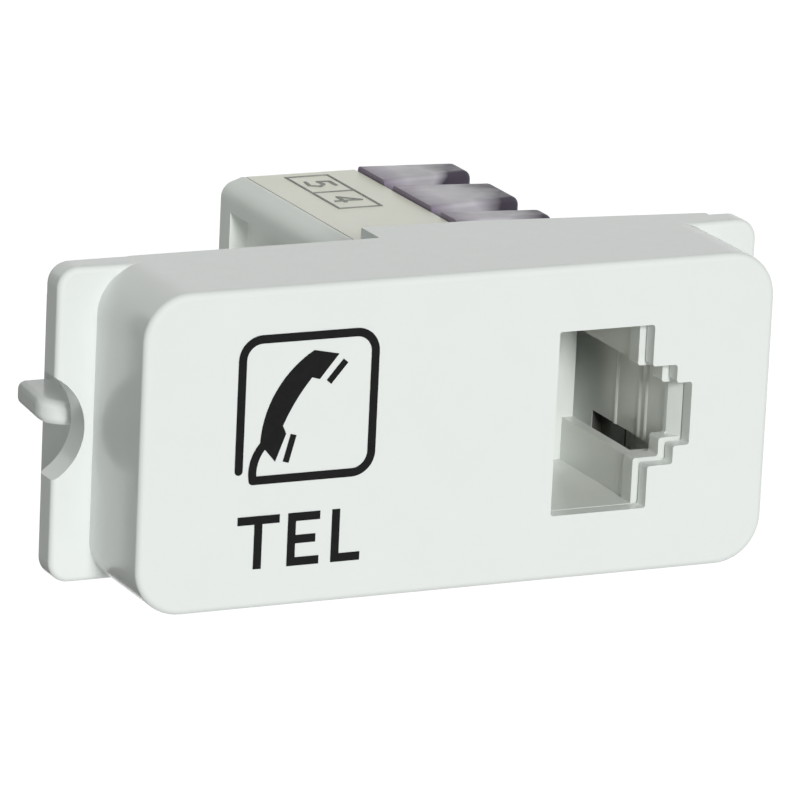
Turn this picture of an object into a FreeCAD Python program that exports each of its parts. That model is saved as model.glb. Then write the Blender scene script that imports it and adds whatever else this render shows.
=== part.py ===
import FreeCAD, Part
import math
import os

from FreeCAD import Vector

# Telephone wall socket: a pale moulded housing with two ears, and a modular jack behind its face.
# Millimetres. X runs to the right as seen from the front, Y into the wall, Z up.
# The origin is the middle of the plane in which the fronts of both ears lie.

# Front housing, one moulding
FACE_WIDTH = 45.0
FACE_HEIGHT = 21.3
FACE_CORNER = 3.2
FACE_EDGE = 0.45
FACE_WALL = 1.1
SIDE_WALL = 1.3
BLOCK_DEPTH = 7.9
BLOCK_REAR_RIM = 2.0

EAR_REACH = 2.7
EAR_THICKNESS = 2.25
EAR_ROOT = 1.8
EAR_CORNER = 1.4
EAR_EDGE = 0.4
EAR_BOTTOM_STEP = 0.25
NOTCH_RADIUS = 3.85
NOTCH_DEPTH = 2.1

SKIRT_INSET = 0.5
SKIRT_WALL = 1.3
SKIRT_REACH = 7.35
SKIRT_HEIGHT = 12.7
LUG_REACH = 2.45
LUG_TAPER = 0.5
LUG_THICKNESS = 1.65
LUG_BEHIND_EAR = 1.05
LUG_CATCH_CORNER = 2.1
LUG_REAR_CORNER = 0.5
LUG_EDGE = 0.55

# Bay that holds the jack module inside the housing
BAY_GAP = 0.2
BAY_WALL = 1.0
BAY_REACH = 1.0
TONGUE_SIDE = 0.55
TONGUE_REACH = 2.8
TONGUE_BEND = 7.8
TONGUE_BEND_REACH = 2.5
TONGUE_END_REACH = 0.42
RAIL_WIDTH = 2.5
HOOK_WIDTH = 4.0
HOOK_LENGTH = 1.1
HOOK_BITE = 0.5
HOOK_GAP = 0.15

# Opening of the jack for a modular plug that lies on its side, latch to the right
JACK_TO_FACE_EDGE = 15.5
JACK_MAIN_WIDTH = 6.25
JACK_MAIN_HEIGHT = 12.0
JACK_SHOULDER_WIDTH = 1.83
JACK_SHOULDER_HEIGHT = 6.32
JACK_NECK_WIDTH = 0.98
JACK_NECK_HEIGHT = 3.82
JACK_CORNER = 0.2

# How far the opening in the face stands off from the opening of the jack
APERTURE_GAP = 0.235
APERTURE_RIGHT_GAP = 0.45
APERTURE_NECK_GAP = 0.62

# Jack module
MODULE_WIDTH = 18.75
MODULE_TO_WALL_GAP = 1.2
MODULE_TO_FACE_GAP = 0.15
JACK_BODY_LENGTH = 16.05
JACK_SIDE_WALL = 1.3
JACK_EDGE = 0.3
JOINT_GAP = 0.1

PLUG_DEPTH = 10.75
CAVITY_RELIEF = 0.15
JACK_REAR_WALL = 1.05
LATCH_FRONT_WALL = 1.3
LATCH_SPACE = 0.14
LATCH_LEAD_IN = 0.9
LATCH_SLOT_WIDTH = 2.0
LATCH_SLOT_DEPTH = 3.0
LATCH_SLOT_SETBACK = 2.3
LATCH_UNDERCUT_LENGTH = 9.5
LATCH_UNDERCUT = 0.8
LATCH_OUTLET_COVER = 1.2
LATCH_RIB_RAISE = 0.1
LATCH_RIB_RADIUS = 0.35
LATCH_RIB_SETBACKS = (4.15, 5.05, 8.4)

FRAME_THICKNESS = 1.75
FRAME_EDGE = 1.1
FRAME_SLOPE_RUN = 1.5
FRAME_SLOPE_DROP = 0.5
WINDOW_DEPTH = 1.35
WINDOW_LENGTH = 12.6
WINDOW_POST = 1.7
WINDOW_BAR = 2.0

BOARD_THICKNESS = 1.2
BOARD_MARGIN = 1.35
BOARD_GAP = 0.2
SOLDER_SPACE = 0.85
BOARD_PEG_RADIUS = 0.8
BOARD_PEG_INSET = 1.6

BLOCK_WIDTH = 8.25
BLOCK_LENGTH = 19.1

# Contact wires of the jack, positions 3 to 6 of the eight that such an opening can hold
WIRE_NUMBERS = (3, 4, 5, 6)
WIRE_PITCH = 1.02
WIRE_SIZE = 0.4
WIRE_GAP = 0.1
WIRE_DEPTH_BELOW_FLOOR = 0.65
WIRE_TURN_RADIUS = 0.5
WIRE_TURN_SETBACK = 2.1
WIRE_TIP_RISE = 2.6
WIRE_TIP_SETBACK = 2.25
WIRE_TAIL_SETBACK = 2.8
WIRE_TAIL_STAGGER = 1.6
CARRIER_HEIGHT = 6.0
CARRIER_DEPTH_BELOW_FLOOR = 0.35
CARRIER_FRONT_SETBACK = 1.3
CARRIER_REAR_SETBACK = 0.9
COMB_LENGTH = 2.5
COMB_HEIGHT = 3.3

# Terminals that cut through the cable wires' insulation, and the caps that press the wires in
CAP_FRONT_RIM = 1.7
CAP_WIDTH = 7.2
CAP_RISE = 0.36
CAP_REAR_INSET = 0.3
CAP_REAR_TAPER = 0.9
CAP_RIM_STEP = 1.25
CAP_CROWN_STEP = 1.1
CAP_MIDDLE_GAP = 0.6
CAP_ROUND = 0.65
CAP_EDGE = 0.35
TERMINAL_PITCH = 7.6
TERMINAL_REAR_INSET = 5.35
TERMINAL_SIDE_INSET = 3.35
VALLEY_WIDTH = 1.3
VALLEY_MOUTH_WIDTH = 3.5
BLADE_WIDTH = 2.4
BLADE_THICKNESS = 0.5
BLADE_REACH = 4.4
BLADE_SLOT = 0.35
BLADE_SLOT_DEPTH = 3.4
BLADE_LEAD_IN = 1.1
TAIL_WIDTH = 0.8
TAIL_PROTRUSION = 0.5
BLADE_GAP = 0.12
LEAD_WIDTH = 1.3
LEAD_DEPTH = 3.2
HOLE_GAP = 0.12
SOLDER_RADIUS = 0.85
SOLDER_TIP_RADIUS = 0.5
SOLDER_HEIGHT = 0.4

# Black print
PRINT_THICKNESS = 0.04
SIGN_TO_FACE_EDGE = 6.5
SIGN_WIDTH = 9.85
SIGN_HEIGHT = 9.9
SIGN_DROP = 2.3
SIGN_STROKE = 0.56
SIGN_CORNER = 1.35
HANDSET_CAP_THICKNESS = 0.42
LETTER_HEIGHT = 3.55
LETTER_STROKE = 0.56
LETTER_TO_FACE_EDGE = 2.7
LETTER_T_INDENT = 0.35
LETTER_T_WIDTH = 2.95
LETTER_E_INDENT = 3.9
LETTER_E_WIDTH = 2.25
LETTER_L_INDENT = 7.0
LETTER_L_WIDTH = 2.05

LABEL_SIDE_INSET = 2.55
LABEL_WIDTH = 3.15
LABEL_LENGTH = 8.9
LABEL_REAR_INSET = 1.0
LABEL_STROKE = 0.18
DIGIT_HEIGHT = 1.9
DIGIT_WIDTH = 1.5
DIGIT_STROKE = 0.26

# Planes that several pieces share
HALF_WIDTH = FACE_WIDTH / 2
HALF_HEIGHT = FACE_HEIGHT / 2
FACE_Y = -BLOCK_DEPTH
EAR_BACK = EAR_THICKNESS
BLOCK_BACK = BLOCK_REAR_RIM
BAY_BACK = BLOCK_BACK + BAY_REACH

MODULE_HALF = HALF_HEIGHT - SIDE_WALL - MODULE_TO_WALL_GAP
JACK_FRONT = FACE_Y + FACE_WALL + MODULE_TO_FACE_GAP
JACK_BACK = JACK_FRONT + JACK_BODY_LENGTH
CAVITY_BACK = JACK_FRONT + PLUG_DEPTH
LATCH_BACK = JACK_BACK - JACK_REAR_WALL
JACK_LEFT = HALF_WIDTH - JACK_TO_FACE_EDGE
MAIN_RIGHT = JACK_LEFT + JACK_MAIN_WIDTH
SHOULDER_RIGHT = MAIN_RIGHT + JACK_SHOULDER_WIDTH
NECK_RIGHT = SHOULDER_RIGHT + JACK_NECK_WIDTH
LATCH_RIGHT = NECK_RIGHT + LATCH_SPACE
LATCH_HALF = JACK_SHOULDER_HEIGHT / 2 + CAVITY_RELIEF
CAVITY_HALF = JACK_MAIN_HEIGHT / 2 + APERTURE_GAP
MODULE_RIGHT = LATCH_RIGHT + JACK_SIDE_WALL
MODULE_LEFT = MODULE_RIGHT - MODULE_WIDTH

FRAME_TOP = MODULE_LEFT + FRAME_THICKNESS
BODY_LEFT = FRAME_TOP + JOINT_GAP
BOARD_LOW = FRAME_TOP + SOLDER_SPACE
BOARD_TOP = BOARD_LOW + BOARD_THICKNESS
FLOOR_X = BOARD_TOP + JOINT_GAP
BLOCK_FRONT = JACK_BACK + BOARD_GAP
MODULE_REAR = BLOCK_FRONT + BLOCK_LENGTH
BLOCK_TOP = BODY_LEFT + BLOCK_WIDTH
CAP_LEFT = BLOCK_TOP + JOINT_GAP
CAP_RIGHT = CAP_LEFT + CAP_WIDTH
CAP_HALF = MODULE_HALF + CAP_RISE
BOARD_HALF = MODULE_HALF - BOARD_MARGIN
BOARD_FRONT = JACK_FRONT + BOARD_MARGIN
BOARD_BACK = MODULE_REAR - BOARD_MARGIN
TAIL_END = BOARD_LOW - TAIL_PROTRUSION

WIRE_RUN_X = JACK_LEFT - WIRE_DEPTH_BELOW_FLOOR
WIRE_TAIL_Y = JACK_BACK - WIRE_TAIL_SETBACK
CARRIER_TOP = JACK_LEFT - CARRIER_DEPTH_BELOW_FLOOR
CARRIER_HALF_HEIGHT = CARRIER_HEIGHT / 2
REAR_TERMINAL_Y = MODULE_REAR - TERMINAL_REAR_INSET
FRONT_TERMINAL_Y = REAR_TERMINAL_Y - TERMINAL_PITCH
CAP_FRONT = FRONT_TERMINAL_Y - VALLEY_MOUTH_WIDTH / 2 - CAP_FRONT_RIM
TERMINAL_Z = MODULE_HALF - TERMINAL_SIDE_INSET

SIGN_LEFT = -HALF_WIDTH + SIGN_TO_FACE_EDGE
SIGN_RIGHT = SIGN_LEFT + SIGN_WIDTH
SIGN_BOTTOM = -SIGN_DROP
SIGN_TOP = SIGN_BOTTOM + SIGN_HEIGHT
LETTER_BOTTOM = -HALF_HEIGHT + LETTER_TO_FACE_EDGE
LABEL_LEFT = BODY_LEFT + LABEL_SIDE_INSET
LABEL_BACK = MODULE_REAR - LABEL_REAR_INSET

TINY = 1e-4


# Shared helpers

def box(x0, x1, y0, y1, z0, z1):
    """Block between three pairs of limits."""
    return Part.makeBox(x1 - x0, y1 - y0, z1 - z0, Vector(x0, y0, z0))


def runs_along(edge, axis):
    """True when a straight edge is parallel to the axis 'x', 'y' or 'z'."""
    lengths = {"x": edge.BoundBox.XLength, "y": edge.BoundBox.YLength, "z": edge.BoundBox.ZLength}
    return lengths[axis] > TINY and all(lengths[other] < TINY for other in lengths if other != axis)


def lies_at(edge, axis, value):
    """True when the whole edge lies in the plane axis = value."""
    limits = {
        "x": (edge.BoundBox.XMin, edge.BoundBox.XMax),
        "y": (edge.BoundBox.YMin, edge.BoundBox.YMax),
        "z": (edge.BoundBox.ZMin, edge.BoundBox.ZMax),
    }
    return all(abs(limit - value) < 10 * TINY for limit in limits[axis])


def rounded_plate(x0, x1, y0, y1, z0, z1, radius):
    """Plate with its four corners rounded, seen along the depth."""
    plate = box(x0, x1, y0, y1, z0, z1)
    return plate.makeFillet(radius, [edge for edge in plate.Edges if runs_along(edge, "y")])


def both_ways(shape):
    """The shape and its mirror image across the mid-height plane."""
    return [shape, shape.mirror(Vector(0, 0, 0), Vector(0, 0, 1))]


def left_and_right(shape):
    """The shape and its mirror image across the middle of the housing."""
    return [shape, shape.mirror(Vector(0, 0, 0), Vector(1, 0, 0))]


def band(path, width):
    """Face of even width along a bent flat path."""
    return Part.Face(path.makeOffset2D(width / 2, 0, False, False, False))


def polygon_face(points):
    """Face in the plane z = 0 with straight sides."""
    return Part.Face(Part.makePolygon([Vector(x, y, 0) for x, y in points + points[:1]]))


def bar(start, end, width):
    """Straight bar of even width between two points, as a face in the plane z = 0."""
    along = Vector(end[0] - start[0], end[1] - start[1], 0).normalize() * (width / 2)
    side = (-along.y, along.x)
    return polygon_face([(start[0] + side[0], start[1] + side[1]), (end[0] + side[0], end[1] + side[1]),
                         (end[0] - side[0], end[1] - side[1]), (start[0] - side[0], start[1] - side[1])])


def stroke(points, width):
    """Face of even width along a line of two or more points, in the plane z = 0."""
    if len(points) == 2:
        return bar(points[0], points[1], width)
    return band(Part.makePolygon([Vector(x, y, 0) for x, y in points]), width)


def join(shapes):
    """One shape from several that touch or overlap."""
    return shapes[0].multiFuse(shapes[1:]).removeSplitter() if len(shapes) > 1 else shapes[0]


def one_solid(shape):
    """The single solid inside a result."""
    solids = shape.Solids
    if len(solids) != 1:
        raise ValueError("expected one solid, got %d" % len(solids))
    return solids[0]


def write(shape, node):
    """Check one piece and save it under its node name."""
    if not shape.isValid():
        raise ValueError(node + " is not a valid shape")
    shape.exportStep("parts/" + node + ".step")


# Opening of the jack, also used for the hole in the face

def plug_opening(y0, y1, gap=0.0, right_gap=0.0, neck_gap=0.0):
    """Stepped prism in the shape of the plug and its latch."""
    main = box(JACK_LEFT - gap, MAIN_RIGHT + right_gap, y0, y1,
               -JACK_MAIN_HEIGHT / 2 - gap, JACK_MAIN_HEIGHT / 2 + gap)
    shoulder = box(JACK_LEFT, SHOULDER_RIGHT + right_gap, y0, y1,
                   -JACK_SHOULDER_HEIGHT / 2 - gap, JACK_SHOULDER_HEIGHT / 2 + gap)
    neck = box(JACK_LEFT, NECK_RIGHT + neck_gap, y0, y1,
               -JACK_NECK_HEIGHT / 2 - gap, JACK_NECK_HEIGHT / 2 + gap)
    prism = join([main, shoulder, neck])
    return prism.makeFillet(JACK_CORNER, [edge for edge in prism.Edges if runs_along(edge, "y")])


# Front housing

def ear_plate():
    """Flat plate behind the block whose thicker ends are the two notched ears."""
    end = HALF_WIDTH + EAR_REACH
    plate = rounded_plate(-end, end, 0, EAR_BACK, -HALF_HEIGHT + EAR_BOTTOM_STEP, HALF_HEIGHT, EAR_CORNER)
    rims = [edge for edge in plate.Edges if lies_at(edge, "y", 0) or lies_at(edge, "y", EAR_BACK)]
    plate = plate.makeFillet(EAR_EDGE, rims)
    notch = Part.makeCylinder(
        NOTCH_RADIUS, 3 * EAR_THICKNESS,
        Vector(-end - NOTCH_RADIUS + NOTCH_DEPTH, -EAR_THICKNESS, 0), Vector(0, 1, 0))
    thin_end = HALF_WIDTH - EAR_ROOT
    middle = box(-thin_end, thin_end, BLOCK_BACK, EAR_BACK + 1, -HALF_HEIGHT - 1, HALF_HEIGHT + 1)
    return plate.cut(left_and_right(notch) + [middle])


def end_skirt():
    """Short wall behind the left ear with the lug that catches behind a wall frame."""
    outer = -HALF_WIDTH + SKIRT_INSET
    inner = outer + SKIRT_WALL
    back = EAR_BACK + SKIRT_REACH
    wall = box(outer, inner, 0, back, -SKIRT_HEIGHT / 2, SKIRT_HEIGHT / 2)
    front = EAR_BACK + LUG_BEHIND_EAR
    tip = outer - LUG_REACH
    middle = (outer + inner) / 2
    outline = polygon_face([(middle, front), (middle, back), (tip + LUG_TAPER, back), (tip, front)])
    lug = outline.extrude(Vector(0, 0, LUG_THICKNESS))
    middle_height = -EAR_BOTTOM_STEP / 2
    low, high = middle_height - LUG_THICKNESS / 2, middle_height + LUG_THICKNESS / 2
    lug.translate(Vector(0, 0, low))
    uprights = [edge for edge in lug.Edges if runs_along(edge, "z") and edge.BoundBox.XMax < outer]
    lug = lug.makeFillet(LUG_REAR_CORNER, [edge for edge in uprights if lies_at(edge, "y", back)])
    lug = lug.makeFillet(LUG_CATCH_CORNER, [edge for edge in lug.Edges
                                            if runs_along(edge, "z") and lies_at(edge, "x", tip)])
    rims = [edge for edge in lug.Edges
            if (lies_at(edge, "z", low) or lies_at(edge, "z", high))
            and edge.BoundBox.XMin < outer]
    return join([wall, lug.makeFillet(LUG_EDGE, rims)])


def rear_tongue():
    """Tongue behind the lower wall of the block that covers the jack module; its rear edge slants."""
    left = MODULE_LEFT - TONGUE_SIDE
    outline = polygon_face([
        (left, BLOCK_BACK / 2), (HALF_WIDTH, BLOCK_BACK / 2), (HALF_WIDTH, BLOCK_BACK + TONGUE_END_REACH),
        (left + TONGUE_BEND, BLOCK_BACK + TONGUE_BEND_REACH), (left, BLOCK_BACK + TONGUE_REACH)])
    tongue = outline.extrude(Vector(0, 0, SIDE_WALL))
    tongue.translate(Vector(0, 0, -HALF_HEIGHT))
    return tongue


def module_bay():
    """Partitions, sleeve, rails and snap hooks that hold the jack module, as one shape."""
    start = FACE_Y + FACE_WALL / 2
    left = MODULE_LEFT - BAY_GAP - BAY_WALL
    right = MODULE_RIGHT + BAY_GAP + BAY_WALL
    outer = box(left, right, start, BLOCK_BACK, -HALF_HEIGHT, HALF_HEIGHT)
    inner = box(left + BAY_WALL, right - BAY_WALL, start - 1, BLOCK_BACK + 1,
                -HALF_HEIGHT + SIDE_WALL, HALF_HEIGHT - SIDE_WALL)
    cover = box(right - BAY_WALL, right, start, BAY_BACK, -HALF_HEIGHT + SIDE_WALL / 2, HALF_HEIGHT - SIDE_WALL / 2)
    pieces = [outer.cut(inner), cover] + both_ways(rear_tongue())
    rail_z = MODULE_HALF + BAY_GAP
    middle = (MODULE_LEFT + MODULE_RIGHT) / 2
    quarter = MODULE_WIDTH / 4
    for rail_x in (middle - 1.5 * quarter, middle, middle + 1.5 * quarter):
        rail = box(rail_x - RAIL_WIDTH / 2, rail_x + RAIL_WIDTH / 2, start, BAY_BACK,
                   rail_z, HALF_HEIGHT - SIDE_WALL / 2)
        pieces += both_ways(rail)
    pieces += both_ways(snap_hook(0.0))
    return pieces


def snap_hook(gap):
    """Hook over the rear shoulder of the jack module, or with a gap the groove that it needs."""
    middle = (JACK_LEFT + MAIN_RIGHT) / 2
    return box(middle - HOOK_WIDTH / 2 - gap, middle + HOOK_WIDTH / 2 + gap,
               BAY_BACK - HOOK_LENGTH - gap, BAY_BACK + gap,
               MODULE_HALF - HOOK_BITE - gap, HALF_HEIGHT - SIDE_WALL / 2)


def front_housing():
    """Face, side walls, ears, end skirts and module bay in one moulding."""
    block = rounded_plate(-HALF_WIDTH, HALF_WIDTH, FACE_Y, BLOCK_BACK, -HALF_HEIGHT, HALF_HEIGHT, FACE_CORNER)
    block = block.makeFillet(FACE_EDGE, [edge for edge in block.Edges if lies_at(edge, "y", FACE_Y)])
    solid = join([block, ear_plate()])
    pocket = rounded_plate(
        -HALF_WIDTH + SIDE_WALL, HALF_WIDTH - SIDE_WALL, FACE_Y + FACE_WALL, EAR_BACK + 1,
        -HALF_HEIGHT + SIDE_WALL, HALF_HEIGHT - SIDE_WALL, FACE_CORNER - SIDE_WALL)
    shell = solid.cut(pocket)
    limit = rounded_plate(-HALF_WIDTH - EAR_REACH, HALF_WIDTH + EAR_REACH, FACE_Y - 1, BAY_BACK + TONGUE_REACH,
                          -HALF_HEIGHT, HALF_HEIGHT, EAR_CORNER)
    bay = join(module_bay()).common(limit)
    housing = join([shell] + left_and_right(end_skirt()) + [bay])
    aperture = plug_opening(FACE_Y - 1, FACE_Y + FACE_WALL + 1, APERTURE_GAP,
                            APERTURE_RIGHT_GAP, APERTURE_NECK_GAP)
    return one_solid(housing.cut(aperture))


# Jack body

def latch_recess():
    """Wider space in which the plug's latch springs; on the right it runs on past the stop for the plug.

    A deep slot follows each long side. It is undercut, and its front part is open to the right, where the
    module bay covers it.
    """
    slot_left = LATCH_RIGHT - LATCH_SLOT_WIDTH
    low = LATCH_HALF + LATCH_SLOT_DEPTH
    front = JACK_FRONT + LATCH_SLOT_SETBACK
    space = box(JACK_LEFT, LATCH_RIGHT, JACK_FRONT + LATCH_FRONT_WALL, CAVITY_BACK, -LATCH_HALF, LATCH_HALF)
    past_stop = box(slot_left, LATCH_RIGHT, front, LATCH_BACK, -low, low)
    undercut = box(slot_left, LATCH_RIGHT + LATCH_UNDERCUT, front, front + LATCH_UNDERCUT_LENGTH,
                   -low, -LATCH_HALF)
    outlet = box(slot_left, MODULE_RIGHT + 1, front, BAY_BACK - LATCH_OUTLET_COVER, -low, -LATCH_HALF)
    return join([space, past_stop] + both_ways(join([undercut, outlet])))


def latch_lead_in():
    """Slope beside the neck of the mouth that leads the latch in."""
    outside = NECK_RIGHT + APERTURE_NECK_GAP
    outline = polygon_face([
        (NECK_RIGHT - JACK_CORNER, JACK_FRONT - 1), (outside, JACK_FRONT - 1), (outside, JACK_FRONT),
        (NECK_RIGHT, JACK_FRONT + LATCH_LEAD_IN), (NECK_RIGHT - JACK_CORNER, JACK_FRONT + LATCH_LEAD_IN)])
    slope = outline.extrude(Vector(0, 0, JACK_NECK_HEIGHT))
    slope.translate(Vector(0, 0, -JACK_NECK_HEIGHT / 2))
    return slope


def latch_ribs():
    """Low upright ribs on the wall that faces the plug's latch."""
    ribs = []
    for setback in LATCH_RIB_SETBACKS:
        centre = Vector(LATCH_RIGHT + LATCH_RIB_RADIUS - LATCH_RIB_RAISE,
                        JACK_FRONT + setback, -LATCH_HALF)
        ribs.append(Part.makeCylinder(LATCH_RIB_RADIUS, 2 * LATCH_HALF, centre))
    return ribs


def wire_height(number):
    """Height of a contact wire above the middle of the jack."""
    return (number - 4.5) * WIRE_PITCH


def comb():
    """Ribs at the back of the cavity that keep the contact wires apart."""
    rib = WIRE_PITCH - WIRE_SIZE - 2 * WIRE_GAP
    ribs = []
    for index in range(len(WIRE_NUMBERS) + 1):
        height = wire_height(WIRE_NUMBERS[0] + index) - WIRE_PITCH / 2
        ribs.append(box(JACK_LEFT - 1, JACK_LEFT + COMB_HEIGHT, CAVITY_BACK - COMB_LENGTH, CAVITY_BACK + 1,
                        height - rib / 2, height + rib / 2))
    return ribs


def jack_body():
    """Moulding with the plug cavity, the latch recess and the pocket for the contact carrier."""
    body = box(BODY_LEFT, MODULE_RIGHT, JACK_FRONT, JACK_BACK, -MODULE_HALF, MODULE_HALF)
    long_edges = [edge for edge in body.Edges if runs_along(edge, "y") and lies_at(edge, "x", MODULE_RIGHT)]
    body = body.makeFillet(JACK_EDGE, long_edges)
    board_recess = box(BODY_LEFT - 1, FLOOR_X, BOARD_FRONT - BOARD_GAP, JACK_BACK + 1,
                       -BOARD_HALF - BOARD_GAP, BOARD_HALF + BOARD_GAP)
    carrier_pocket = box(FLOOR_X - 1, CARRIER_TOP + WIRE_GAP, JACK_FRONT + CARRIER_FRONT_SETBACK - JOINT_GAP,
                         JACK_BACK - CARRIER_REAR_SETBACK + JOINT_GAP,
                         -CARRIER_HALF_HEIGHT - JOINT_GAP, CARRIER_HALF_HEIGHT + JOINT_GAP)
    opening_half = wire_height(WIRE_NUMBERS[-1]) + WIRE_PITCH / 2
    wire_opening = box(CARRIER_TOP, JACK_LEFT + 1, JACK_FRONT + CARRIER_FRONT_SETBACK - JOINT_GAP,
                       CAVITY_BACK, -opening_half, opening_half)
    entry = box(JACK_LEFT, MAIN_RIGHT, JACK_FRONT - 1, CAVITY_BACK, -CAVITY_HALF, CAVITY_HALF)
    main = box(JACK_LEFT, MAIN_RIGHT + CAVITY_RELIEF, JACK_FRONT + LATCH_FRONT_WALL, CAVITY_BACK,
               -CAVITY_HALF, CAVITY_HALF)
    mouth = plug_opening(JACK_FRONT - 1, JACK_FRONT + LATCH_FRONT_WALL + TINY)
    body = body.cut([board_recess, carrier_pocket, wire_opening, entry, main, mouth, latch_recess()])
    body = body.cut(latch_lead_in())
    body = body.cut(both_ways(snap_hook(HOOK_GAP)))
    added = [rib.common(box(JACK_LEFT, MODULE_RIGHT, JACK_FRONT, JACK_BACK, -MODULE_HALF, MODULE_HALF))
             for rib in latch_ribs() + comb()]
    return one_solid(join([body] + added))


# Contacts

def tail_depth(number):
    """Depth of a contact wire's tail; odd wires end nearer the face, so that neighbours keep clear."""
    return WIRE_TAIL_Y - WIRE_TAIL_STAGGER * (number % 2)


def wire_path(number):
    """Line of one contact wire from its tail to its tip, in depth and width."""
    tail_y = tail_depth(number)
    turn_y = JACK_FRONT + WIRE_TURN_SETBACK
    centre = Vector(WIRE_RUN_X + WIRE_TURN_RADIUS, turn_y, 0)
    tip = Vector(JACK_LEFT + WIRE_TIP_RISE, CAVITY_BACK - WIRE_TIP_SETBACK, 0)
    reach = tip - centre
    slope = math.atan2(reach.x, reach.y) - math.asin(WIRE_TURN_RADIUS / reach.Length)
    leave = centre + Vector(math.cos(slope), -math.sin(slope), 0) * WIRE_TURN_RADIUS
    lowest = centre + Vector(-math.sin(math.pi / 4), -math.cos(math.pi / 4), 0) * WIRE_TURN_RADIUS
    tail = Part.makeLine(Vector(TAIL_END, tail_y, 0), Vector(WIRE_RUN_X, tail_y, 0))
    run = Part.makeLine(Vector(WIRE_RUN_X, tail_y, 0), Vector(WIRE_RUN_X, turn_y, 0))
    bend = Part.Arc(Vector(WIRE_RUN_X, turn_y, 0), lowest, leave).toShape()
    spring = Part.makeLine(leave, tip)
    return Part.Wire([tail, run, bend, spring])


def wire_solid(number, gap=0.0):
    """One contact wire, or with a gap the channel that it needs."""
    thickness = WIRE_SIZE + 2 * gap
    solid = band(wire_path(number), thickness).extrude(Vector(0, 0, thickness))
    solid.translate(Vector(0, 0, wire_height(number) - thickness / 2))
    return solid


def contact_carrier():
    """Insert under the cavity that holds the contact wires in its channels."""
    block = box(FLOOR_X + JOINT_GAP / 2, CARRIER_TOP, JACK_FRONT + CARRIER_FRONT_SETBACK,
                JACK_BACK - CARRIER_REAR_SETBACK, -CARRIER_HALF_HEIGHT, CARRIER_HALF_HEIGHT)
    channels = [wire_solid(number, WIRE_GAP) for number in WIRE_NUMBERS]
    nose_half = wire_height(WIRE_NUMBERS[-1]) + WIRE_PITCH / 2
    nose = box(WIRE_RUN_X - WIRE_SIZE / 2 - WIRE_GAP, CARRIER_TOP + 1, JACK_FRONT,
               JACK_FRONT + WIRE_TURN_SETBACK, -nose_half, nose_half)
    return one_solid(block.cut(channels + [nose]))


# Terminals

def terminal_places():
    """Number, depth and height of each terminal: 5 and 4 above, 6 and 3 below."""
    return [(3, FRONT_TERMINAL_Y, -TERMINAL_Z), (4, FRONT_TERMINAL_Y, TERMINAL_Z),
            (5, REAR_TERMINAL_Y, TERMINAL_Z), (6, REAR_TERMINAL_Y, -TERMINAL_Z)]


def terminal_blade(depth, height):
    """Forked blade that stands on the board, its slot open to the right."""
    top = BLOCK_TOP + BLADE_REACH
    plate = box(FLOOR_X, top, depth - BLADE_WIDTH / 2, depth + BLADE_WIDTH / 2,
                height - BLADE_THICKNESS / 2, height + BLADE_THICKNESS / 2)
    tail = box(TAIL_END, FLOOR_X + TINY, depth - TAIL_WIDTH / 2, depth + TAIL_WIDTH / 2,
               height - BLADE_THICKNESS / 2, height + BLADE_THICKNESS / 2)
    slot = box(top - BLADE_SLOT_DEPTH, top + 1, depth - BLADE_SLOT / 2, depth + BLADE_SLOT / 2,
               height - BLADE_THICKNESS, height + BLADE_THICKNESS)
    half = BLADE_LEAD_IN / 2
    lead_in = polygon_face([(top + TINY, depth - half), (top - half, depth), (top + TINY, depth + half)])
    wedge = lead_in.extrude(Vector(0, 0, 2 * BLADE_THICKNESS))
    wedge.translate(Vector(0, 0, height - BLADE_THICKNESS))
    return one_solid(join([plate, tail]).cut([slot, wedge]))


def blade_slot(depth, height):
    """Slot through a moulding for one blade."""
    return box(BODY_LEFT, CAP_RIGHT, depth - BLADE_WIDTH / 2 - BLADE_GAP, depth + BLADE_WIDTH / 2 + BLADE_GAP,
               height - BLADE_THICKNESS / 2 - BLADE_GAP, height + BLADE_THICKNESS / 2 + BLADE_GAP)


def terminal_block():
    """Cream moulding behind the jack body that the blades pass through."""
    block = box(BODY_LEFT, BLOCK_TOP, BLOCK_FRONT, MODULE_REAR, -MODULE_HALF, MODULE_HALF)
    board_recess = box(BODY_LEFT - 1, FLOOR_X, BLOCK_FRONT - 1, BOARD_BACK + BOARD_GAP,
                       -BOARD_HALF - BOARD_GAP, BOARD_HALF + BOARD_GAP)
    slots = [blade_slot(depth, height) for _, depth, height in terminal_places()]
    return one_solid(block.cut([board_recess] + slots))


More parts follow.
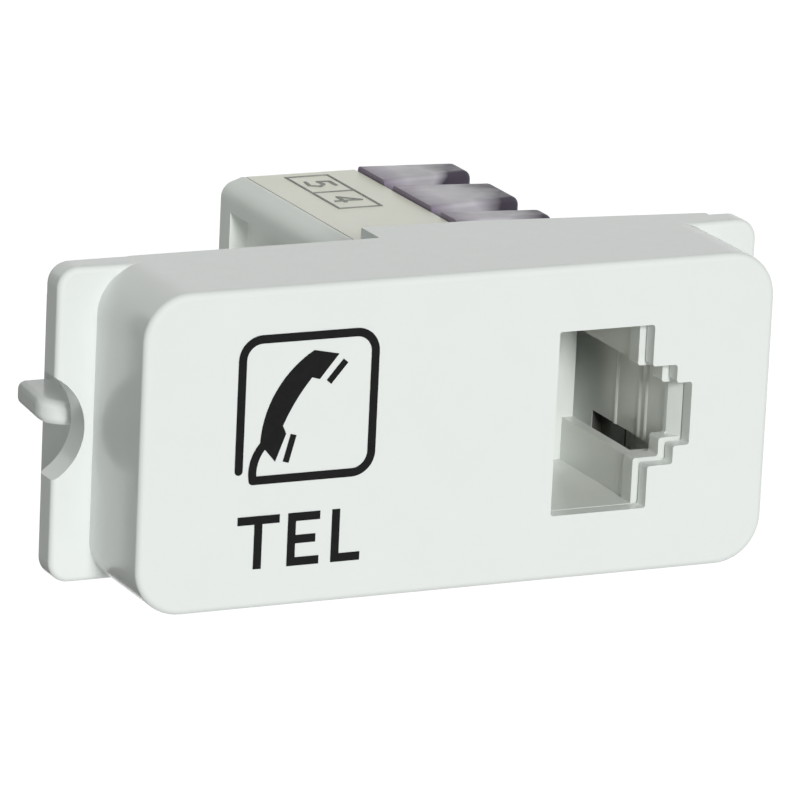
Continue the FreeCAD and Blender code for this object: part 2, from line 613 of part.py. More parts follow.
def wire_cap(side):
    """Translucent cap with three ridges and two flared wire grooves, above (1) or below (-1)."""
    inside = CAP_MIDDLE_GAP / 2
    back = MODULE_REAR - CAP_REAR_INSET
    outline = polygon_face([(CAP_LEFT, CAP_FRONT), (CAP_RIGHT, CAP_FRONT),
                            (CAP_RIGHT, back - CAP_REAR_TAPER), (CAP_LEFT, back)])
    body = outline.extrude(Vector(0, 0, CAP_HALF - inside))
    body.translate(Vector(0, 0, inside))
    shoulder = [edge for edge in body.Edges
                if runs_along(edge, "y") and lies_at(edge, "x", CAP_RIGHT) and lies_at(edge, "z", CAP_HALF)]
    body = body.makeFillet(CAP_ROUND, shoulder)
    valleys = (FRONT_TERMINAL_Y, REAR_TERMINAL_Y)
    narrow, wide = VALLEY_WIDTH / 2, VALLEY_MOUTH_WIDTH / 2
    over = CAP_RIGHT + 1
    funnels = []
    for depth in valleys:
        funnel = polygon_face([(CAP_LEFT - 1, depth - narrow), (CAP_LEFT, depth - narrow), (CAP_RIGHT, depth - wide),
                               (over, depth - wide), (over, depth + wide), (CAP_RIGHT, depth + wide),
                               (CAP_LEFT, depth + narrow), (CAP_LEFT - 1, depth + narrow)])
        above = funnel.extrude(Vector(0, 0, 2 * CAP_CROWN_STEP))
        above.translate(Vector(0, 0, CAP_HALF - CAP_CROWN_STEP))
        beside = funnel.extrude(Vector(0, 0, CAP_HALF))
        beside.translate(Vector(0, 0, inside - TINY))
        rim = box(CAP_RIGHT - CAP_RIM_STEP, over, CAP_FRONT, MODULE_REAR, inside - 1, CAP_HALF)
        funnels += [above, beside.common(rim)]
    body = body.cut(funnels)
    crowns = [edge for edge in body.Edges
              if edge.BoundBox.ZMin > CAP_HALF - CAP_CROWN_STEP + TINY
              and edge.BoundBox.XLength > CAP_WIDTH / 2]
    body = body.makeFillet(CAP_EDGE, crowns)
    for depth in valleys:
        reach = CAP_LEFT + BLADE_REACH + BLADE_GAP - JOINT_GAP
        pocket = box(CAP_LEFT - 1, reach,
                     depth - BLADE_WIDTH / 2 - BLADE_GAP, depth + BLADE_WIDTH / 2 + BLADE_GAP,
                     TERMINAL_Z - BLADE_THICKNESS / 2 - BLADE_GAP,
                     TERMINAL_Z + BLADE_THICKNESS / 2 + BLADE_GAP)
        groove = box(CAP_LEFT - 1, CAP_LEFT + LEAD_DEPTH - LEAD_WIDTH / 2, depth - LEAD_WIDTH / 2,
                     depth + LEAD_WIDTH / 2, inside + 1, CAP_HALF + 1)
        bottom = Part.makeCylinder(LEAD_WIDTH / 2, CAP_HALF - inside,
                                   Vector(CAP_LEFT + LEAD_DEPTH - LEAD_WIDTH / 2, depth, inside + 1))
        body = body.cut([pocket, groove, bottom])
    cap = one_solid(body)
    return cap if side > 0 else cap.mirror(Vector(0, 0, 0), Vector(0, 0, 1))


# Board, solder and rear frame

def tail_places():
    """Depth, height and half size of each tail in the board."""
    wires = [(tail_depth(number), wire_height(number), WIRE_SIZE / 2, WIRE_SIZE / 2)
             for number in WIRE_NUMBERS]
    blades = [(depth, height, TAIL_WIDTH / 2, BLADE_THICKNESS / 2) for _, depth, height in terminal_places()]
    return wires, blades


def circuit_board():
    """Board that joins each contact wire to its blade."""
    board = box(BOARD_LOW, BOARD_TOP, BOARD_FRONT, BOARD_BACK, -BOARD_HALF, BOARD_HALF)
    wires, blades = tail_places()
    holes = []
    for depth, height, half_depth, half_height in wires + blades:
        radius = math.hypot(half_depth, half_height) + HOLE_GAP
        holes.append(Part.makeCylinder(radius, 2 * BOARD_THICKNESS,
                                       Vector(BOARD_LOW - BOARD_THICKNESS / 2, depth, height), Vector(1, 0, 0)))
    return one_solid(board.cut(holes))


def solder_joints():
    """Small cones of solder round the tails, under the board."""
    wires, blades = tail_places()
    joints = []
    for depth, height, half_depth, half_height in wires + blades:
        radius = min(math.hypot(half_depth, half_height) + HOLE_GAP, SOLDER_TIP_RADIUS)
        wide = radius + SOLDER_RADIUS - SOLDER_TIP_RADIUS
        if (depth, height, half_depth, half_height) in wires:
            wide = min(wide, WIRE_PITCH / 2 - WIRE_GAP + WIRE_TAIL_STAGGER / 4)
        cone = Part.makeCone(wide, radius, SOLDER_HEIGHT, Vector(BOARD_LOW, depth, height), Vector(-1, 0, 0))
        tail = box(TAIL_END - 1, BOARD_TOP, depth - half_depth, depth + half_depth,
                   height - half_height, height + half_height)
        joints.append(one_solid(cone.cut(tail)))
    return Part.makeCompound(joints)


def module_frame():
    """Grey-white frame that closes the left side of the module, with a sunk window."""
    slope_end = MODULE_LEFT + FRAME_SLOPE_RUN
    low = MODULE_HALF - FRAME_SLOPE_DROP
    outline = polygon_face([(MODULE_LEFT, -low), (slope_end, -MODULE_HALF), (FRAME_TOP, -MODULE_HALF),
                            (FRAME_TOP, MODULE_HALF), (slope_end, MODULE_HALF), (MODULE_LEFT, low)])
    frame = outline.extrude(Vector(0, 0, MODULE_REAR - JACK_FRONT))
    frame.rotate(Vector(0, 0, 0), Vector(1, 0, 0), 90)
    frame.translate(Vector(0, MODULE_REAR, 0))
    long_edges = [edge for edge in frame.Edges if runs_along(edge, "y") and lies_at(edge, "x", MODULE_LEFT)]
    frame = frame.makeFillet(FRAME_EDGE, long_edges)
    window = box(MODULE_LEFT - 1, MODULE_LEFT + WINDOW_DEPTH, MODULE_REAR - WINDOW_POST - WINDOW_LENGTH,
                 MODULE_REAR - WINDOW_POST, -MODULE_HALF + WINDOW_BAR, MODULE_HALF - WINDOW_BAR)
    frame = frame.cut(window)
    pegs = []
    for depth in (BOARD_FRONT + BOARD_PEG_INSET, BOARD_BACK - BOARD_PEG_INSET):
        peg = Part.makeCylinder(BOARD_PEG_RADIUS, SOLDER_SPACE + FRAME_THICKNESS - WINDOW_DEPTH,
                                Vector(MODULE_LEFT + WINDOW_DEPTH, depth, BOARD_HALF - BOARD_PEG_INSET),
                                Vector(1, 0, 0))
        pegs += both_ways(peg)
    return one_solid(join([frame] + pegs))


# Print

def on_face(flats):
    """Print drawn as flat faces in width and height, joined and laid on the front face."""
    solid = one_solid(join([flat.extrude(Vector(0, 0, PRINT_THICKNESS)) for flat in flats]))
    solid.rotate(Vector(0, 0, 0), Vector(1, 0, 0), 90)
    solid.translate(Vector(0, FACE_Y, 0))
    return solid


def on_sign(across, up):
    """Point of the pictogram, given as shares of its width and height from its lower left corner."""
    return Vector(SIGN_LEFT + across * SIGN_WIDTH, SIGN_BOTTOM + up * SIGN_HEIGHT, 0)


def sign_border():
    """Rounded square whose lower left corner is open, its lower line rising as the cord."""
    half = SIGN_STROKE / 2
    left, right = SIGN_LEFT + half, SIGN_RIGHT - half
    bottom, top = SIGN_BOTTOM + half, SIGN_TOP - half
    bow = SIGN_CORNER * (1 - math.sqrt(0.5))
    leg_end = on_sign(0, 0.1).y
    cord_corner = Vector(on_sign(0.13, 0).x, bottom, 0)
    edges = [
        Part.makeLine(Vector(left, leg_end, 0), Vector(left, top - SIGN_CORNER, 0)),
        Part.Arc(Vector(left, top - SIGN_CORNER, 0), Vector(left + bow, top - bow, 0),
                 Vector(left + SIGN_CORNER, top, 0)).toShape(),
        Part.makeLine(Vector(left + SIGN_CORNER, top, 0), Vector(right - SIGN_CORNER, top, 0)),
        Part.Arc(Vector(right - SIGN_CORNER, top, 0), Vector(right - bow, top - bow, 0),
                 Vector(right, top - SIGN_CORNER, 0)).toShape(),
        Part.makeLine(Vector(right, top - SIGN_CORNER, 0), Vector(right, bottom + SIGN_CORNER, 0)),
        Part.Arc(Vector(right, bottom + SIGN_CORNER, 0), Vector(right - bow, bottom + bow, 0),
                 Vector(right - SIGN_CORNER, bottom, 0)).toShape(),
        Part.makeLine(Vector(right - SIGN_CORNER, bottom, 0), cord_corner),
        Part.Arc(cord_corner, on_sign(0.137, 0.157), on_sign(0.193, 0.258)).toShape(),
    ]
    return band(Part.Wire(edges), SIGN_STROKE)


def handset():
    """Telephone handset seen from the side, ear piece at the upper right."""
    ear_back, ear_heel, mouth_heel, mouth_back = (0.533, 0.874), (0.523, 0.692), (0.330, 0.384), (0.173, 0.263)
    back = Part.Arc(on_sign(*mouth_back), on_sign(0.279, 0.626), on_sign(*ear_back)).toShape()
    ear_lines = Part.makePolygon([on_sign(*point) for point in (
        ear_back, (0.711, 0.838), (0.579, 0.677), ear_heel)])
    inner = Part.Arc(on_sign(*ear_heel), on_sign(0.416, 0.545), on_sign(*mouth_heel)).toShape()
    mouth_lines = Part.makePolygon([on_sign(*point) for point in (
        mouth_heel, (0.355, 0.328), (0.284, 0.146), (0.218, 0.222), mouth_back)])
    grip = Part.Face(Part.Wire([back] + ear_lines.Edges + [inner] + mouth_lines.Edges))
    ear_cap = bar(on_sign(0.761, 0.788), on_sign(0.645, 0.652), HANDSET_CAP_THICKNESS)
    mouth_cap = bar(on_sign(0.409, 0.318), on_sign(0.360, 0.136), HANDSET_CAP_THICKNESS)
    return [grip, ear_cap, mouth_cap]


def telephone_sign():
    """Pictogram on the face: border with cord, handset grip and its two end caps."""
    grip, ear_cap, mouth_cap = handset()
    return Part.makeCompound([on_face([sign_border(), grip]), on_face([ear_cap]), on_face([mouth_cap])])


def rectangle(x0, y0, x1, y1):
    """Flat rectangle between two corners."""
    return polygon_face([(x0, y0), (x1, y0), (x1, y1), (x0, y1)])


def tel_lettering():
    """The three letters below the pictogram."""
    low, high = LETTER_BOTTOM, LETTER_BOTTOM + LETTER_HEIGHT
    middle = (low + high) / 2
    width = LETTER_STROKE
    left_t, left_e, left_l = (SIGN_LEFT + indent
                              for indent in (LETTER_T_INDENT, LETTER_E_INDENT, LETTER_L_INDENT))
    stem = left_t + (LETTER_T_WIDTH - width) / 2
    letter_t = [rectangle(left_t, high - width, left_t + LETTER_T_WIDTH, high),
                rectangle(stem, low, stem + width, high)]
    letter_e = [rectangle(left_e, low, left_e + width, high)]
    for start, length in ((low, LETTER_E_WIDTH), (middle - width / 2, LETTER_E_WIDTH - width / 2),
                          (high - width, LETTER_E_WIDTH)):
        letter_e.append(rectangle(left_e, start, left_e + length, start + width))
    letter_l = [rectangle(left_l, low, left_l + width, high),
                rectangle(left_l, low, left_l + LETTER_L_WIDTH, low + width)]
    return Part.makeCompound([on_face(letter) for letter in (letter_t, letter_e, letter_l)])


def digit_lines(number):
    """Strokes of one digit in a box one wide and one high."""
    lines = {
        3: [[(0.05, 1.0), (0.95, 1.0), (0.45, 0.6), (0.95, 0.4), (0.85, 0.1), (0.45, 0.0), (0.05, 0.12)]],
        4: [[(0.7, 0.0), (0.7, 1.0), (0.0, 0.3)], [(0.0, 0.3), (1.0, 0.3)]],
        5: [[(0.9, 1.0), (0.15, 1.0), (0.1, 0.55), (0.6, 0.62), (0.95, 0.35), (0.7, 0.03), (0.05, 0.08)]],
        6: [[(0.85, 0.95), (0.4, 0.9), (0.05, 0.4), (0.3, 0.02), (0.75, 0.05), (0.95, 0.32),
             (0.7, 0.58), (0.35, 0.5)]],
    }
    return lines[number]


def terminal_label(far_number, near_number, side):
    """Two boxed numbers beside the terminals, above (1) or below (-1)."""
    right, front = LABEL_LEFT + LABEL_WIDTH, LABEL_BACK - LABEL_LENGTH
    middle = (front + LABEL_BACK) / 2
    half = LABEL_STROKE / 2
    frame = rectangle(LABEL_LEFT - half, front - half, right + half, LABEL_BACK + half)
    cells = [rectangle(LABEL_LEFT + half, front + half, right - half, middle - half),
             rectangle(LABEL_LEFT + half, middle + half, right - half, LABEL_BACK - half)]
    groups = [[frame.cut(cells)]]
    centre_x = (LABEL_LEFT + right) / 2
    for number, centre_y in ((near_number, (front + middle) / 2), (far_number, (middle + LABEL_BACK) / 2)):
        strokes = []
        for line in digit_lines(number):
            points = [(centre_x + (up - 0.5) * DIGIT_HEIGHT, centre_y - side * (across - 0.5) * DIGIT_WIDTH)
                      for across, up in line]
            strokes.append(stroke(points, DIGIT_STROKE))
        groups.append(strokes)
    solids = []
    for flats in groups:
        solid = one_solid(join([flat.extrude(Vector(0, 0, side * PRINT_THICKNESS)) for flat in flats]))
        solid.translate(Vector(0, 0, side * MODULE_HALF))
        solids.append(solid)
    return Part.makeCompound(solids)


def main():
    os.makedirs("parts", exist_ok=True)
    write(front_housing(), "front_housing")
    write(jack_body(), "jack_body")
    write(contact_carrier(), "contact_carrier")
    for number in WIRE_NUMBERS:
        write(one_solid(wire_solid(number)), "contact_wire_%d" % number)
    for number, depth, height in terminal_places():
        write(terminal_blade(depth, height), "terminal_blade_%d" % number)
    write(terminal_block(), "terminal_block")
    write(wire_cap(1), "wire_cap_upper")
    write(wire_cap(-1), "wire_cap_lower")
    write(circuit_board(), "circuit_board")
    write(solder_joints(), "solder_joints")
    write(module_frame(), "module_frame")
    write(telephone_sign(), "telephone_sign")
    write(tel_lettering(), "tel_lettering")
    write(terminal_label(5, 4, 1), "terminal_label_upper")
    write(terminal_label(6, 3, -1), "terminal_label_lower")


main()
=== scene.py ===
import math

import bpy
from mathutils import Matrix, Vector


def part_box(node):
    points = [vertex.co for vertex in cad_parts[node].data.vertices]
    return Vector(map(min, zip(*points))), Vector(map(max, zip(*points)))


# Telephone wall socket. Metres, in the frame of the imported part: X right, Y into the wall, Z up.

MM = 0.001

# Camera: a long lens from the front left, a little above
AIM = Vector((0.0, -7.9, 0.0)) * MM
YAW = math.radians(25.86)
PITCH = math.radians(15.67)
ROLL = math.radians(2.72)
DISTANCE = 435.8 * MM
SIDEWAYS = 3.99 * MM
UPWARD = -2.115 * MM
SENSOR_WIDTH = 36.0
LENS_PER_SENSOR_WIDTH = 8.43
CLIP_START = 0.02
CLIP_END = 20.0

# Lamps: name, direction towards the lamp, strength on a surface that faces it, width and tint
WHITE = (1.0, 1.0, 1.0)
LAMPS = (
    ("front", Vector((-0.10, -0.92, 0.34)), 0.715, math.radians(16), WHITE),
    ("overhead", Vector((-0.10, 0.10, 1.0)), 0.065, math.radians(100), (1.0, 1.0, 0.93)),
    ("left", Vector((-1.0, -0.25, 0.10)), 0.04, math.radians(60), WHITE),
    ("behind", Vector((0.30, 0.95, 0.12)), 0.26, math.radians(16), WHITE),
)
AMBIENT = 0.17
AMBIENT_TINT = (0.95, 1.0, 0.98)

# Stage
FLOOR_Z = -0.45
FLOOR_RADIUS = 4.0
FLOOR_SIDES = 96
FLOOR_COLOUR = (236, 236, 236)
FLOOR_GLOW = 0.62
CARD_SIZE = 0.34
CARD_DISTANCE = 0.30
CARD_GREY = 0.02

# Detail of the noise in the textures
SMOOTH = 1.0
PLAIN = 2.0
FINE = 3.0

# Moulded plastics: colour, roughness, size and depth of the grain, and how far the colour varies.
# A material's gloss pair gives the shares of its roughness between which the roughness varies.
PLASTICS = {
    "white_moulded": ((234, 238, 235), 0.2, 0.16 * MM, 0.0003 * MM, 0.006),
    "jack_moulded": ((230, 234, 230), 0.2, 0.14 * MM, 0.0003 * MM, 0.008),
    "frame_moulded": ((240, 244, 239), 0.42, 0.14 * MM, 0.0004 * MM, 0.008),
    "cream_moulded": ((248, 248, 233), 0.36, 0.12 * MM, 0.0006 * MM, 0.01),
    "carrier_moulded": ((196, 197, 195), 0.4, 0.12 * MM, 0.0012 * MM, 0.02),
}
PLASTIC_IOR = 1.5
PLASTIC_GLOSS = (0.85, 1.15)
GLOSS_SCALE = 900.0
CLOUD_SCALE = 260.0
WAVE_SCALE = 180.0
WAVE_TO_GRAIN_DEPTH = 12
SPECK_TO_GRAIN_SIZE = 3
SPECK_TO_CLOUD_SHADE = 3
SPECK_SHARE = 0.25
SPECK_START = 0.62
SPECK_FULL = 0.75

# The jack's two undercut slots, as in the part: one above and one below the latch space. Their walls get
# painted shade.
SLOT_LEFT = 16.2 * MM
SLOT_RIGHT = 17.0 * MM
SLOT_BACK = 5.15 * MM
SLOT_LOW = 3.31 * MM
SLOT_HIGH = 6.31 * MM
SLOT_FADE = 0.08 * MM
# Colour of the painted shade on the slot walls
SLOT_SHADE_GREY = (92, 94, 88)

# Wire caps: milky in the middle, with painted shade along the left edge and darker towards the right end
CAP_PALE = (214, 210, 217)
# Colour of the painted shade along the left edge
CAP_EDGE_SHADE = (126, 111, 135)
CAP_DEEP = (58, 50, 66)
CAP_ROUGH = 0.42
CAP_GLOSS = (0.8, 1.2)
CAP_IOR = 1.49
CAP_TRANSMISSION = 0.1
CAP_SCATTER = 0.4
CAP_SCATTER_DEPTH = 0.6 * MM
CAP_SCATTER_TINT = (0.9, 0.8, 1.0)
END_LENGTH = 3.6 * MM
END_WISP = 2.8 * MM
# Painted shade along the left edge: how wide it is and how far it darkens the colour
EDGE_SHADE_LENGTH = 1.9 * MM
EDGE_SHADE_DEPTH = 0.9
WISP_SCALE = 380.0
WISP_STRETCH = (0.5, 1.0, 1.0)
WISP_DETAIL = 1.5
WISP_START = 0.35
WISP_FULL = 0.65
WISP_DARK = 0.78
WISP_LIGHT = 1.06
CAP_GLOSS_SCALE = 1500.0
CAP_WAVE_SCALE = 350.0
CAP_WAVE_DEPTH = 0.015 * MM

# Metals: colour, roughness and how the streaks are drawn out along X, Y and Z
METALS = {
    "gold_plated": ((232, 190, 100), 0.22, (1.0, 0.1, 1.0)),
    "tin_plated": ((196, 197, 195), 0.3, (0.15, 1.0, 1.0)),
    "solder": ((190, 193, 197), 0.25, (1.0, 1.0, 1.0)),
}
METAL_GLOSS = (0.7, 1.4)
STREAK_SCALE = 1500.0
STREAK_DEPTH = 0.003 * MM
SPOT_SCALE = 1200.0
SPOT_START = 0.45
SPOT_FULL = 0.75
SPOT_SHADE = 0.72

# Circuit board
BOARD_DARK = (34, 92, 62)
BOARD_LIGHT = (52, 118, 78)
BOARD_ROUGH = 0.28
WEAVE_SCALE = 700.0
WEAVE_DISTORTION = 0.6
WEAVE_DEPTH = 0.01 * MM

# Printing inks: colour and roughness
INKS = {
    "black_ink": ((15, 15, 16), 0.42),
    "label_ink": ((132, 135, 129), 0.5),
}
INK_IOR = 1.45
INK_SPECULAR = 0.18
INK_GLOSS = (0.85, 1.2)
INK_GLOSS_SCALE = 2600.0
PATCH_SCALE = 1400.0
PATCH_DARK = 0.8
PATCH_LIGHT = 1.5
RIPPLE_SCALE = 5000.0
RIPPLE_DEPTH = 0.003 * MM

# Which material each CAD node gets
FINISHES = {
    "front_housing": "white_moulded",
    "jack_body": "jack_moulded",
    "module_frame": "frame_moulded",
    "terminal_block": "cream_moulded",
    "contact_carrier": "carrier_moulded",
    "wire_cap_upper": "purple_translucent",
    "wire_cap_lower": "purple_translucent",
    "circuit_board": "board",
    "solder_joints": "solder",
    "telephone_sign": "black_ink",
    "tel_lettering": "black_ink",
    "terminal_label_upper": "label_ink",
    "terminal_label_lower": "label_ink",
}
CONTACT_NUMBERS = (3, 4, 5, 6)
for number in CONTACT_NUMBERS:
    FINISHES["contact_wire_%d" % number] = "gold_plated"
    FINISHES["terminal_blade_%d" % number] = "tin_plated"


# Colours

def srgb(colour):
    """Linear colour from three values between 0 and 255 as a picture shows them."""
    linear = []
    for value in colour:
        share = value / 255
        linear.append(share / 12.92 if share <= 0.04045 else ((share + 0.055) / 1.055) ** 2.4)
    return (*linear, 1.0)


def tinted(colour, factor):
    """The colour made lighter or darker."""
    return (colour[0] * factor, colour[1] * factor, colour[2] * factor, 1.0)


# Materials

class Nodes:
    """The node tree of a material or the world, with short calls for the nodes that this scene uses."""

    def __init__(self, owner, output):
        owner.use_nodes = True
        self.owner = owner
        self.tree = owner.node_tree
        self.tree.nodes.clear()
        self.output = self.tree.nodes.new(output)

    def add(self, kind, **sockets):
        node = self.tree.nodes.new(kind)
        for name, value in sockets.items():
            self.put(value, node.inputs[name.replace("_", " ")])
        return node

    def put(self, value, socket):
        if isinstance(value, bpy.types.NodeSocket):
            self.tree.links.new(value, socket)
        else:
            socket.default_value = value

    def noise(self, scale, detail=PLAIN, roughness=0.5, vector=None):
        """Noise between 0 and 1, with about so many features in a metre as scale says."""
        return self.add("ShaderNodeTexNoise", Vector=vector or self.place, Scale=scale, Detail=detail,
                        Roughness=roughness).outputs["Fac"]

    def stretched(self, scale):
        """Coordinates in which a texture is drawn out along the axes with a small scale."""
        return self.add("ShaderNodeMapping", Vector=self.place, Scale=scale).outputs[0]

    def axes(self):
        return self.add("ShaderNodeSeparateXYZ", Vector=self.place).outputs

    def spread(self, value, low, high, start=0.3, stop=0.7):
        """Low where the value is below start, high where it is above stop, and even in between."""
        node = self.add("ShaderNodeMapRange", Value=value)
        for name, number in (("From Min", start), ("From Max", stop), ("To Min", low), ("To Max", high)):
            node.inputs[name].default_value = number
        return node.outputs["Result"]

    def gloss(self, noise, rough, shares):
        """Roughness that varies between two shares of its value."""
        return self.spread(noise, rough * shares[0], rough * shares[1])

    def math(self, operation, first, second=0.0):
        node = self.tree.nodes.new("ShaderNodeMath")
        node.operation = operation
        self.put(first, node.inputs[0])
        self.put(second, node.inputs[1])
        return node.outputs[0]

    def blend(self, share, first, second):
        """Mixture of two colours."""
        node = self.tree.nodes.new("ShaderNodeMix")
        node.data_type = "RGBA"
        self.put(share, node.inputs["Factor"])
        self.put(first, node.inputs["A"])
        self.put(second, node.inputs["B"])
        return [socket for socket in node.outputs if socket.type == "RGBA"][0]

    def bump(self, height, distance, normal=None):
        node = self.add("ShaderNodeBump", Height=height, Distance=distance)
        if normal is not None:
            self.put(normal, node.inputs["Normal"])
        return node.outputs["Normal"]

    def mix(self, share, first, second):
        """Mixture of two shaders."""
        node = self.tree.nodes.new("ShaderNodeMixShader")
        for value, socket in zip((share, first.outputs[0], second.outputs[0]), node.inputs):
            self.put(value, socket)
        return node

    def seen_directly(self):
        """One for rays from the camera and for those in gloss and clear plastic, zero for diffuse light."""
        rays = self.tree.nodes.new("ShaderNodeLightPath").outputs
        either = self.math("MAXIMUM", rays["Is Camera Ray"], rays["Is Glossy Ray"])
        return self.math("MAXIMUM", either, rays["Is Transmission Ray"])

    def finish(self, shader):
        self.tree.links.new(shader.outputs[0], self.output.inputs["Surface"])
        return self.owner


def material_nodes(name):
    """Nodes of a new material, with the place on the object as its textures' coordinates."""
    n = Nodes(bpy.data.materials.new(name), "ShaderNodeOutputMaterial")
    n.place = n.add("ShaderNodeTexCoord").outputs["Object"]
    return n


def painted_slot_shade(n):
    """One on the walls of the jack's undercut slots, where shade is painted into the colour, and zero
    elsewhere.
    """
    place = n.axes()
    off_middle = n.math("ABSOLUTE", place["Z"])
    limits = (
        n.spread(place["X"], 0.0, 1.0, SLOT_LEFT, SLOT_LEFT + SLOT_FADE),
        n.spread(place["X"], 1.0, 0.0, SLOT_RIGHT + SLOT_FADE, SLOT_RIGHT + 2 * SLOT_FADE),
        n.spread(place["Y"], 1.0, 0.0, SLOT_BACK + SLOT_FADE, SLOT_BACK + 2 * SLOT_FADE),
        n.spread(off_middle, 0.0, 1.0, SLOT_LOW - 2 * SLOT_FADE, SLOT_LOW - SLOT_FADE),
        n.spread(off_middle, 1.0, 0.0, SLOT_HIGH + SLOT_FADE, SLOT_HIGH + 2 * SLOT_FADE))
    inside = limits[0]
    for limit in limits[1:]:
        inside = n.math("MULTIPLY", inside, limit)
    return inside


def moulded(name, painted_shade=None):
    """Moulded plastic: cloudy colour, uneven gloss, a fine grain and long shallow waves from the mould."""
    picture_colour, rough, grain_size, grain_depth, mottling = PLASTICS[name]
    colour = srgb(picture_colour)
    n = material_nodes(name)
    clouds = n.spread(n.noise(CLOUD_SCALE, FINE, roughness=0.55), 0.0, 1.0)
    specks = n.noise(1 / (SPECK_TO_GRAIN_SIZE * grain_size))
    specks = n.spread(specks, 0.0, SPECK_SHARE, SPECK_START, SPECK_FULL)
    base = n.blend(clouds, tinted(colour, 1 - mottling), tinted(colour, 1 + mottling))
    base = n.blend(specks, base, tinted(colour, 1 - SPECK_TO_CLOUD_SHADE * mottling))
    # Painted shade: where the mask is one, the colour goes dark grey
    if painted_shade is not None:
        base = n.blend(painted_shade(n), base, srgb(SLOT_SHADE_GREY))
    gloss = n.gloss(n.noise(GLOSS_SCALE, FINE), rough, PLASTIC_GLOSS)
    waves = n.bump(n.noise(WAVE_SCALE, SMOOTH), WAVE_TO_GRAIN_DEPTH * grain_depth)
    grain = n.bump(n.noise(1 / grain_size, roughness=0.6), grain_depth, normal=waves)
    shader = n.add("ShaderNodeBsdfPrincipled", Base_Color=base, Roughness=gloss, Normal=grain,
                   IOR=PLASTIC_IOR)
    return n.finish(shader)


def translucent(name, left, right):
    """Tinted translucent plastic with wisps, painted shade along the left edge and darker towards the right
    end; left and right are where the cap starts and ends along X.
    """
    n = material_nodes(name)
    across = n.axes()["X"]
    wisps = n.noise(WISP_SCALE, WISP_DETAIL, vector=n.stretched(WISP_STRETCH))
    bent = n.math("ADD", across, n.spread(wisps, -END_WISP / 2, END_WISP / 2))
    end = n.spread(bent, 0.0, 1.0, right - END_LENGTH, right - END_WISP / 2)
    # Painted shade: the colour goes darker along the cap's left edge
    edge = n.spread(across, EDGE_SHADE_DEPTH, 0.0, left, left + EDGE_SHADE_LENGTH)
    pale = srgb(CAP_PALE)
    milk = n.spread(wisps, 0.0, 1.0, WISP_START, WISP_FULL)
    milky = n.blend(milk, tinted(pale, WISP_DARK), tinted(pale, WISP_LIGHT))
    base = n.blend(end, n.blend(edge, milky, srgb(CAP_EDGE_SHADE)), srgb(CAP_DEEP))
    gloss = n.gloss(n.noise(CAP_GLOSS_SCALE, FINE), CAP_ROUGH, CAP_GLOSS)
    waves = n.bump(n.noise(CAP_WAVE_SCALE, SMOOTH), CAP_WAVE_DEPTH)
    shader = n.add("ShaderNodeBsdfPrincipled", Base_Color=base, Roughness=gloss, Normal=waves, IOR=CAP_IOR,
                   Transmission_Weight=CAP_TRANSMISSION, Subsurface_Weight=CAP_SCATTER,
                   Subsurface_Scale=CAP_SCATTER_DEPTH, Subsurface_Radius=CAP_SCATTER_TINT)
    return n.finish(shader)


def metal(name):
    """Drawn or plated metal with fine streaks and duller spots."""
    picture_colour, rough, streak = METALS[name]
    colour = srgb(picture_colour)
    n = material_nodes(name)
    lines = n.noise(STREAK_SCALE, FINE, vector=n.stretched(streak))
    spots = n.spread(n.noise(SPOT_SCALE, FINE), 0.0, 1.0, SPOT_START, SPOT_FULL)
    base = n.blend(spots, colour, tinted(colour, SPOT_SHADE))
    gloss = n.gloss(lines, rough, METAL_GLOSS)
    shader = n.add("ShaderNodeBsdfPrincipled", Base_Color=base, Roughness=gloss, Metallic=1.0,
                   Normal=n.bump(lines, STREAK_DEPTH))
    return n.finish(shader)


def laminate(name):
    """Lacquered board: green lacquer over the weave of the glass cloth."""
    n = material_nodes(name)
    threads = []
    for direction in ("Y", "Z"):
        wave = n.add("ShaderNodeTexWave", Vector=n.place, Scale=WEAVE_SCALE, Distortion=WEAVE_DISTORTION)
        wave.bands_direction = direction
        threads.append(wave.outputs["Fac"])
    cloth = n.math("MULTIPLY", *threads)
    base = n.blend(cloth, srgb(BOARD_DARK), srgb(BOARD_LIGHT))
    shader = n.add("ShaderNodeBsdfPrincipled", Base_Color=base, Roughness=BOARD_ROUGH,
                   Normal=n.bump(cloth, WEAVE_DEPTH))
    return n.finish(shader)


def ink(name):
    """Pad-printed ink: slightly uneven in colour and gloss, with a faint ripple."""
    picture_colour, rough = INKS[name]
    colour = srgb(picture_colour)
    n = material_nodes(name)
    patches = n.spread(n.noise(PATCH_SCALE, FINE, roughness=0.6), 0.0, 1.0)
    base = n.blend(patches, tinted(colour, PATCH_DARK), tinted(colour, PATCH_LIGHT))
    gloss = n.gloss(n.noise(INK_GLOSS_SCALE), rough, INK_GLOSS)
    ripple = n.bump(n.noise(RIPPLE_SCALE), RIPPLE_DEPTH)
    shader = n.add("ShaderNodeBsdfPrincipled", Base_Color=base, Roughness=gloss, Normal=ripple, IOR=INK_IOR,
                   Specular_IOR_Level=INK_SPECULAR)
    return n.finish(shader)


def dress(nodes):
    """Give every CAD node its material."""
    low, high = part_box("wire_cap_upper")
    # The jack's plastic gets painted shade in its undercut slots
    materials = {name: moulded(name, painted_slot_shade if name == "jack_moulded" else None) for name in PLASTICS}
    materials.update({name: metal(name) for name in METALS})
    materials.update({name: ink(name) for name in INKS})
    materials["purple_translucent"] = translucent("purple_translucent", low[0], high[0])
    materials["board"] = laminate("board")
    for node, finish in FINISHES.items():
        for slot in nodes[node].material_slots:
            slot.material = materials[finish]


# Light, stage and camera

def mesh_object(name, points, material):
    """One flat face through the points, linked to the scene."""
    mesh = bpy.data.meshes.new(name)
    mesh.from_pydata(points, [], [tuple(range(len(points)))])
    mesh.materials.append(material)
    piece = bpy.data.objects.new(name, mesh)
    bpy.context.scene.collection.objects.link(piece)
    return piece


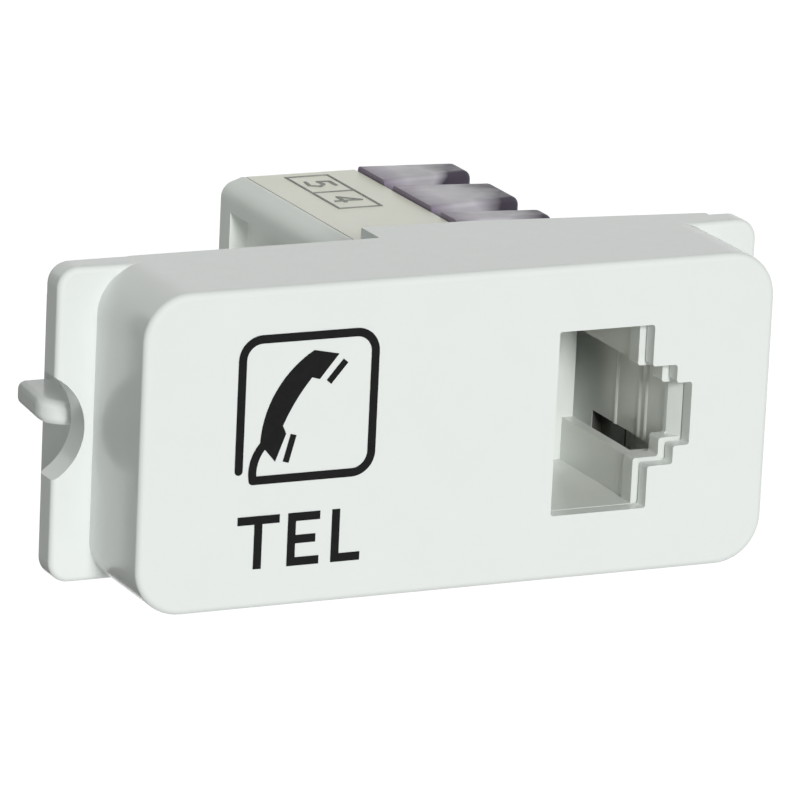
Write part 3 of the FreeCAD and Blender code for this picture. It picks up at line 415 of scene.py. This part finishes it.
def pale_floor():
    """Plain white floor well below the part, which is held by its ears and not by its underside.

    To the camera and in reflections it looks brighter by its glow, but shadows still fall on it.
    """
    n = material_nodes("pale_floor")
    matt = n.add("ShaderNodeBsdfDiffuse", Color=srgb(FLOOR_COLOUR))
    glow = n.add("ShaderNodeEmission", Strength=FLOOR_GLOW)
    bright = n.tree.nodes.new("ShaderNodeAddShader")
    n.put(matt.outputs[0], bright.inputs[0])
    n.put(glow.outputs[0], bright.inputs[1])
    turns = [2 * math.pi * i / FLOOR_SIDES for i in range(FLOOR_SIDES)]
    points = [(FLOOR_RADIUS * math.cos(turn), FLOOR_RADIUS * math.sin(turn), FLOOR_Z) for turn in turns]
    mesh_object("floor", points, n.finish(n.mix(n.seen_directly(), matt, bright)))


def dark_card(camera_back):
    """Dark card behind the left end, which the glossy side wall mirrors, as beside a product in a studio."""
    direction = Vector((camera_back.x, -camera_back.y, -camera_back.z)).normalized()
    half = CARD_SIZE / 2
    n = material_nodes("dark_card")
    grey = n.add("ShaderNodeBsdfDiffuse", Color=(CARD_GREY, CARD_GREY, CARD_GREY, 1.0))
    card = mesh_object("dark_card", [(-half, -half, 0), (half, -half, 0), (half, half, 0), (-half, half, 0)],
                       n.finish(grey))
    card.matrix_world = (Matrix.Translation(direction * CARD_DISTANCE)
                         @ direction.to_track_quat("Z", "Y").to_matrix().to_4x4())
    card.visible_camera = False
    card.visible_diffuse = False
    card.visible_shadow = False
    card.visible_transmission = False


def surroundings():
    """Even light from all round, which looks plain white to the camera, in gloss and in clear plastic."""
    world = bpy.data.worlds.new("studio")
    bpy.context.scene.world = world
    n = Nodes(world, "ShaderNodeOutputWorld")
    around = n.add("ShaderNodeBackground", Strength=AMBIENT, Color=(*AMBIENT_TINT, 1.0))
    white = n.add("ShaderNodeBackground", Strength=1.0, Color=(*WHITE, 1.0))
    n.finish(n.mix(n.seen_directly(), around, white))


def lamps():
    """A light from the front and weaker ones from above, the left and behind.

    Gloss mirrors the white surroundings and not these lights, which would glare on the flat tops when they
    are seen from behind.
    """
    for name, direction, strength, width, tint in LAMPS:
        lamp = bpy.data.lights.new(name, "SUN")
        lamp.energy = strength * math.pi
        lamp.angle = width
        lamp.color = tint
        holder = bpy.data.objects.new(name, lamp)
        holder.rotation_mode = "QUATERNION"
        holder.rotation_quaternion = direction.to_track_quat("Z", "Y")
        holder.visible_glossy = False
        bpy.context.scene.collection.objects.link(holder)


def camera():
    """Camera at the photograph's viewing angle; returns the direction from the object to it."""
    back = Vector((-math.sin(YAW) * math.cos(PITCH), -math.cos(YAW) * math.cos(PITCH), math.sin(PITCH)))
    level = Vector((math.cos(YAW), -math.sin(YAW), 0.0))
    rise = back.cross(level)
    right = math.cos(ROLL) * level + math.sin(ROLL) * rise
    up = math.cos(ROLL) * rise - math.sin(ROLL) * level
    place = AIM - SIDEWAYS * right - UPWARD * up + DISTANCE * back
    data = bpy.data.cameras.new("camera")
    data.sensor_width = SENSOR_WIDTH
    data.lens = LENS_PER_SENSOR_WIDTH * SENSOR_WIDTH
    data.clip_start = CLIP_START
    data.clip_end = CLIP_END
    view = bpy.data.objects.new("camera", data)
    view.matrix_world = Matrix((
        (right.x, up.x, back.x, place.x),
        (right.y, up.y, back.y, place.y),
        (right.z, up.z, back.z, place.z),
        (0.0, 0.0, 0.0, 1.0)))
    bpy.context.scene.collection.objects.link(view)
    bpy.context.scene.camera = view
    return back


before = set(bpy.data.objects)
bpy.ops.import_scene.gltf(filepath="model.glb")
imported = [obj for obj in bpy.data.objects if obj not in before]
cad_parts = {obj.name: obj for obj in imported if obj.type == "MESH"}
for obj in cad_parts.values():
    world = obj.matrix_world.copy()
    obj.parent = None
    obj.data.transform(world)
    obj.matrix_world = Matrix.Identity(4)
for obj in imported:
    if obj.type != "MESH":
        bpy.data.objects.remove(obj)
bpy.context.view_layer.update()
bpy.context.scene.view_settings.view_transform = "Standard"
dress(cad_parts)
pale_floor()
surroundings()
lamps()
dark_card(camera())
